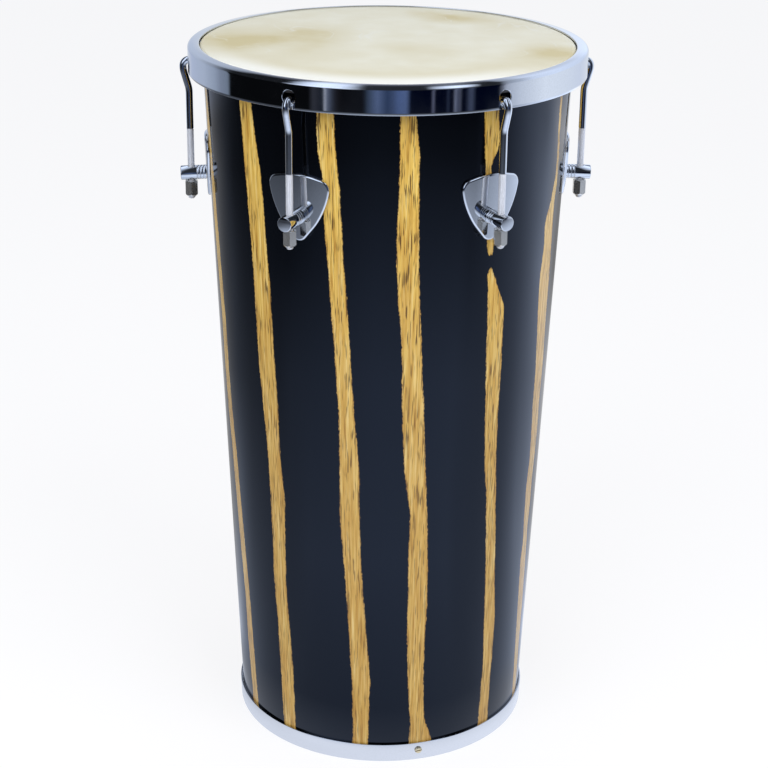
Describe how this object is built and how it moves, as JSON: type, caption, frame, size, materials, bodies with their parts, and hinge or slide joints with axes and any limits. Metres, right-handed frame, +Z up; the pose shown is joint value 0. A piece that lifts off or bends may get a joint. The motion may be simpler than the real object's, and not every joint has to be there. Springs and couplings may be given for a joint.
{
  "type": "rebolo drum",
  "caption": "Tall tapered hand drum with a skin head, chromed counter-hoop, hooked tension rods and an open foot on a metal band.",
  "frame": {"origin": "middle of the drum on the floor that its foot band stands on", "axes": "+Z up along the drum's axis, -Y to the front, +X to the right seen from the front; tension rods stand at 30, 90 and 150 degrees to each side of the front"},
  "size_m": [0.3428, 0.326, 0.603],
  "materials": {
    "lacquered_wood": "gloss black lacquer over plywood, with bare golden wood stripes",
    "chrome": "polished chrome plate",
    "rawhide": "dry translucent skin, mottled",
    "ring_steel": "plain drawn steel",
    "zinc_steel": "zinc plated",
    "nickel_steel": "satin nickel plated"
  },
  "bodies": {
    "shell_body": {"shell": "lacquered_wood", "foot_band": "chrome", "band_screw_1": "zinc_steel", "band_screw_2": "zinc_steel", "band_screw_3": "zinc_steel", "lug_plate_1": "chrome", "lug_post_1": "chrome", "lug_bolt_1": "zinc_steel", "lug_washer_1": "zinc_steel", "lug_plate_2": "chrome", "lug_post_2": "chrome", "lug_bolt_2": "zinc_steel", "lug_washer_2": "zinc_steel", "lug_plate_3": "chrome", "lug_post_3": "chrome", "lug_bolt_3": "zinc_steel", "lug_washer_3": "zinc_steel", "lug_plate_4": "chrome", "lug_post_4": "chrome", "lug_bolt_4": "zinc_steel", "lug_washer_4": "zinc_steel", "lug_plate_5": "chrome", "lug_post_5": "chrome", "lug_bolt_5": "zinc_steel", "lug_washer_5": "zinc_steel", "lug_plate_6": "chrome", "lug_post_6": "chrome", "lug_bolt_6": "zinc_steel", "lug_washer_6": "zinc_steel"},
    "head_assembly": {"skin_head": "rawhide", "flesh_hoop": "ring_steel", "counter_hoop": "chrome", "tension_rod_1": "chrome", "tension_rod_2": "chrome", "tension_rod_3": "chrome", "tension_rod_4": "chrome", "tension_rod_5": "chrome", "tension_rod_6": "chrome"},
    "nut_1": {"tension_nut_1": "nickel_steel"},
    "nut_2": {"tension_nut_2": "nickel_steel"},
    "nut_3": {"tension_nut_3": "nickel_steel"},
    "nut_4": {"tension_nut_4": "nickel_steel"},
    "nut_5": {"tension_nut_5": "nickel_steel"},
    "nut_6": {"tension_nut_6": "nickel_steel"}
  },
  "joints": [
    {"name": "head_lift", "type": "slide", "parent": "shell_body", "child": "head_assembly", "axis": [0, 0, 1], "range_m": [0, 0.01]},
    {"name": "nut_turn_1", "type": "hinge", "parent": "shell_body", "child": "nut_1", "pos_m": [-0.0813, -0.14082, 0.48], "axis": [0, 0, 1], "range_deg": [-3600, 0]},
    {"name": "nut_turn_2", "type": "hinge", "parent": "shell_body", "child": "nut_2", "pos_m": [0.0813, -0.14082, 0.48], "axis": [0, 0, 1], "range_deg": [-3600, 0]},
    {"name": "nut_turn_3", "type": "hinge", "parent": "shell_body", "child": "nut_3", "pos_m": [0.1626, 0, 0.48], "axis": [0, 0, 1], "range_deg": [-3600, 0]},
    {"name": "nut_turn_4", "type": "hinge", "parent": "shell_body", "child": "nut_4", "pos_m": [0.0813, 0.14082, 0.48], "axis": [0, 0, 1], "range_deg": [-3600, 0]},
    {"name": "nut_turn_5", "type": "hinge", "parent": "shell_body", "child": "nut_5", "pos_m": [-0.0813, 0.14082, 0.48], "axis": [0, 0, 1], "range_deg": [-3600, 0]},
    {"name": "nut_turn_6", "type": "hinge", "parent": "shell_body", "child": "nut_6", "pos_m": [-0.1626, 0, 0.48], "axis": [0, 0, 1], "range_deg": [-3600, 0]}
  ],
  "couplings": [
    {"joint": "nut_turn_1", "follows": "head_lift", "rad_per_m": -6283.2},
    {"joint": "nut_turn_2", "follows": "head_lift", "rad_per_m": -6283.2},
    {"joint": "nut_turn_3", "follows": "head_lift", "rad_per_m": -6283.2},
    {"joint": "nut_turn_4", "follows": "head_lift", "rad_per_m": -6283.2},
    {"joint": "nut_turn_5", "follows": "head_lift", "rad_per_m": -6283.2},
    {"joint": "nut_turn_6", "follows": "head_lift", "rad_per_m": -6283.2}
  ]
}
